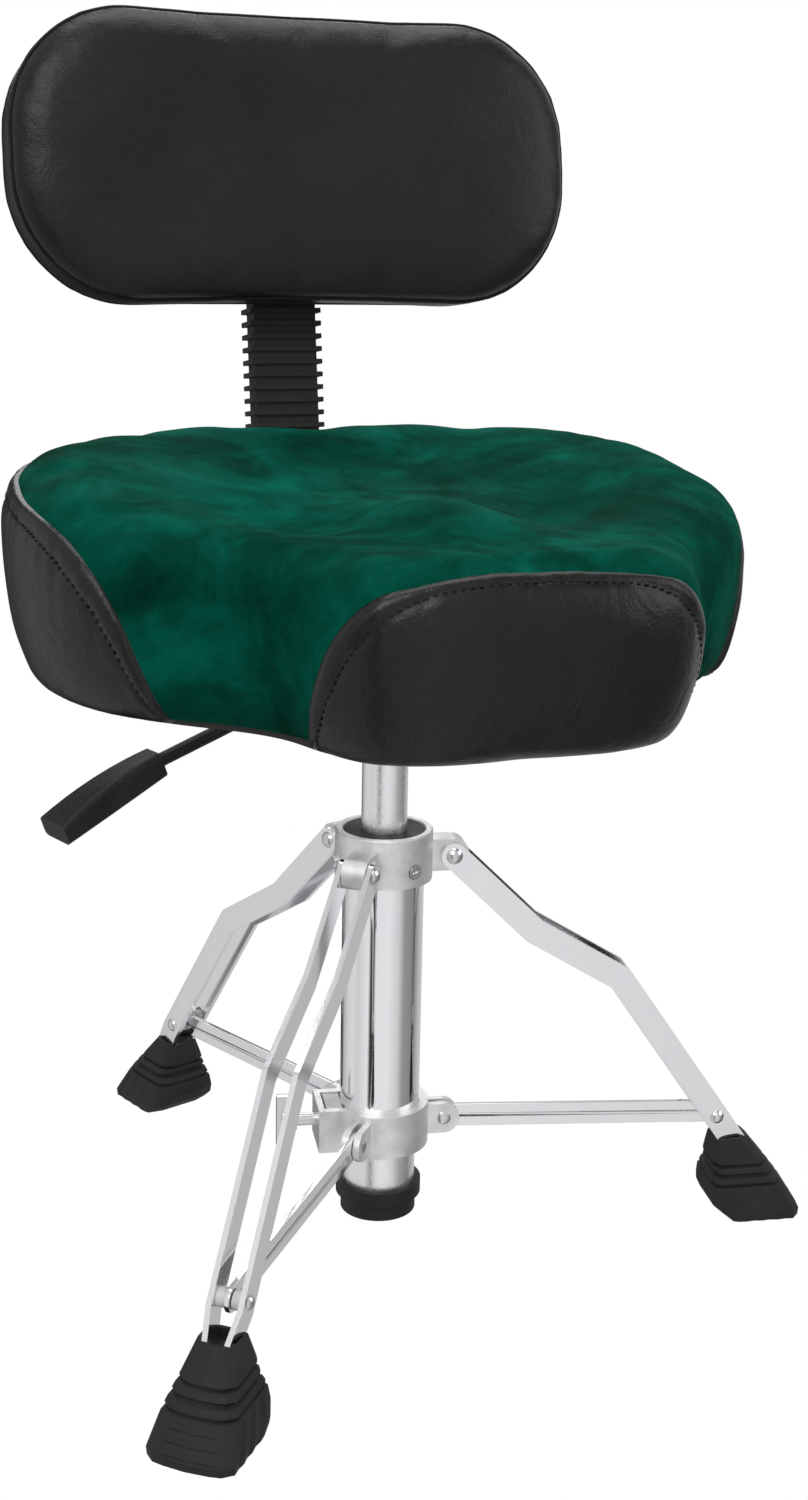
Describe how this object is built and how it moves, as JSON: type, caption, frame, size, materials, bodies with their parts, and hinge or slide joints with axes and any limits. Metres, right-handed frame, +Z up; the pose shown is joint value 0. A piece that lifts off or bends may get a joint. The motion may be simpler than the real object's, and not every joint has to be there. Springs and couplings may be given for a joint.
{
  "type": "drum throne",
  "caption": "Saddle-shaped padded stool on a gas lift with release lever, adjustable backrest and a folding tripod of paired flat bars with rubber feet.",
  "frame": {"origin": "column axis at the underside of the column end cap, 17 mm above the floor", "axes": "+Z up along the column, -Y towards the front of the seat, +X to the side away from the release lever"},
  "size_m": [0.4986, 0.5016, 0.7545],
  "materials": {
    "chrome_tube": "polished",
    "chrome_strip": "polished",
    "satin_steel": "satin",
    "cast_metal": "sandy satin casting",
    "zinc_fastener": "bright zinc",
    "white_nylon": "natural",
    "black_steel": "semi gloss",
    "black_plastic": "fine grain",
    "brass_pin": "turned",
    "rubber_foot": "moulded",
    "plywood": "raw",
    "seat_velvet": "short pile velvet top with black vinyl side panels",
    "black_vinyl": "pebble grain"
  },
  "bodies": {
    "column": {"column_tube": "chrome_tube", "lower_sleeve": "satin_steel", "tripod_hub": "cast_metal", "hub_screws": "zinc_fastener", "hub_pivot_pins": "zinc_fastener", "column_end_cap": "black_plastic", "guide_bush": "black_plastic", "thrust_bearing": "zinc_fastener", "rod_anchor_plate": "satin_steel"},
    "gas_rod": {"piston_rod": "satin_steel", "gas_piston": "satin_steel", "retaining_clip": "zinc_fastener"},
    "seat": {"gas_cylinder": "satin_steel", "lift_socket": "satin_steel", "mechanism_housing": "black_steel", "lever_pivot_pin": "zinc_fastener", "seat_plate": "black_steel", "seat_plate_bolts": "zinc_fastener", "seat_board": "plywood", "seat_cushion": "seat_velvet", "bar_bracket": "black_steel"},
    "lever": {"lever_rod": "black_steel", "lever_grip": "black_plastic"},
    "release_pin": {"release_pin": "brass_pin"},
    "backrest_arm": {"backrest_bar": "black_steel", "bar_bellows": "black_plastic"},
    "depth_knob": {"depth_knob": "black_plastic"},
    "backrest": {"backrest_carrier": "black_steel", "backrest_board": "plywood", "backrest_cushion": "black_vinyl", "backrest_screws": "zinc_fastener"},
    "height_knob": {"height_knob": "black_plastic"},
    "collar": {"clamp_collar": "cast_metal", "clamp_shoe": "white_nylon", "collar_rivets": "zinc_fastener"},
    "wing_bolt": {"clamp_wing_bolt": "zinc_fastener"},
    "leg_1": {"leg_1_bar_left": "chrome_strip", "leg_1_bar_right": "chrome_strip", "leg_1_foot": "rubber_foot", "leg_1_pivot_bolts": "zinc_fastener", "leg_1_brace_bolts": "zinc_fastener", "leg_1_brace_spacers": "white_nylon"},
    "brace_1": {"brace_1_strip": "chrome_strip"},
    "leg_2": {"leg_2_bar_left": "chrome_strip", "leg_2_bar_right": "chrome_strip", "leg_2_foot": "rubber_foot", "leg_2_pivot_bolts": "zinc_fastener", "leg_2_brace_bolts": "zinc_fastener", "leg_2_brace_spacers": "white_nylon"},
    "brace_2": {"brace_2_strip": "chrome_strip"},
    "leg_3": {"leg_3_bar_left": "chrome_strip", "leg_3_bar_right": "chrome_strip", "leg_3_foot": "rubber_foot", "leg_3_pivot_bolts": "zinc_fastener", "leg_3_brace_bolts": "zinc_fastener", "leg_3_brace_spacers": "white_nylon"},
    "brace_3": {"brace_3_strip": "chrome_strip"}
  },
  "joints": [
    {"name": "seat_swivel", "type": "hinge", "parent": "column", "child": "gas_rod", "pos_m": [0, 0, 0.1], "axis": [0, 0, 1], "continuous": true},
    {"name": "seat_lift", "type": "slide", "parent": "gas_rod", "child": "seat", "axis": [0, 0, 1], "range_m": [-0.05, 0.06]},
    {"name": "lever_lift", "type": "hinge", "parent": "seat", "child": "lever", "pos_m": [-0.03, 0, 0.337], "axis": [0, 1, 0], "range_deg": [0, 6]},
    {"name": "release_press", "type": "slide", "parent": "seat", "child": "release_pin", "axis": [0, 0, -1], "range_m": [0, 0.0036]},
    {"name": "backrest_depth", "type": "slide", "parent": "seat", "child": "backrest_arm", "axis": [0, 1, 0], "range_m": [-0.005, 0.03]},
    {"name": "depth_knob_turn", "type": "hinge", "parent": "seat", "child": "depth_knob", "pos_m": [0, 0.095, 0.321], "axis": [0, 0, 1], "continuous": true},
    {"name": "backrest_height", "type": "slide", "parent": "backrest_arm", "child": "backrest", "axis": [0, 0.1392, 0.9903], "range_m": [-0.02, 0.05]},
    {"name": "height_knob_turn", "type": "hinge", "parent": "backrest", "child": "height_knob", "pos_m": [0, 0.23477, 0.64727], "axis": [0, 0.9903, -0.1392], "continuous": true},
    {"name": "leg_1_fold", "type": "hinge", "parent": "column", "child": "leg_1", "pos_m": [0.04151, -0.00762, 0.236], "axis": [0.1805, 0.9836, 0], "range_deg": [0, 38]},
    {"name": "leg_2_fold", "type": "hinge", "parent": "column", "child": "leg_2", "pos_m": [-0.01416, 0.03975, 0.236], "axis": [-0.9421, -0.3355, 0], "range_deg": [0, 38]},
    {"name": "leg_3_fold", "type": "hinge", "parent": "column", "child": "leg_3", "pos_m": [-0.02735, -0.03214, 0.236], "axis": [0.7615, -0.6481, 0], "range_deg": [0, 38]},
    {"name": "collar_slide", "type": "slide", "parent": "column", "child": "collar", "axis": [0, 0, 1], "range_m": [0, 0.09893]},
    {"name": "wing_bolt_turn", "type": "hinge", "parent": "collar", "child": "wing_bolt", "pos_m": [-0.04918, 0.00903, 0.062], "axis": [-0.9836, 0.1805, 0], "continuous": true},
    {"name": "brace_1_swing", "type": "hinge", "parent": "collar", "child": "brace_1", "pos_m": [0.04013, -0.00737, 0.0598], "axis": [0.1805, 0.9836, 0], "range_deg": [0, 78.31]},
    {"name": "brace_2_swing", "type": "hinge", "parent": "collar", "child": "brace_2", "pos_m": [-0.01369, 0.03844, 0.0598], "axis": [-0.9421, -0.3355, 0], "range_deg": [0, 78.31]},
    {"name": "brace_3_swing", "type": "hinge", "parent": "collar", "child": "brace_3", "pos_m": [-0.02644, -0.03107, 0.0598], "axis": [0.7615, -0.6481, 0], "range_deg": [0, 78.31]}
  ],
  "couplings": [
    {"joint": "release_press", "follows": "lever_lift", "m_per_rad": 0.034},
    {"joint": "brace_1_swing", "follows": "leg_1_fold", "ratio": 2.0594},
    {"joint": "brace_2_swing", "follows": "leg_1_fold", "ratio": 2.0594},
    {"joint": "brace_3_swing", "follows": "leg_1_fold", "ratio": 2.0594},
    {"joint": "leg_2_fold", "follows": "leg_1_fold", "ratio": 1},
    {"joint": "leg_3_fold", "follows": "leg_1_fold", "ratio": 1},
    {"joint": "collar_slide", "follows": "leg_1_fold", "m_per_rad": 0.14902}
  ]
}
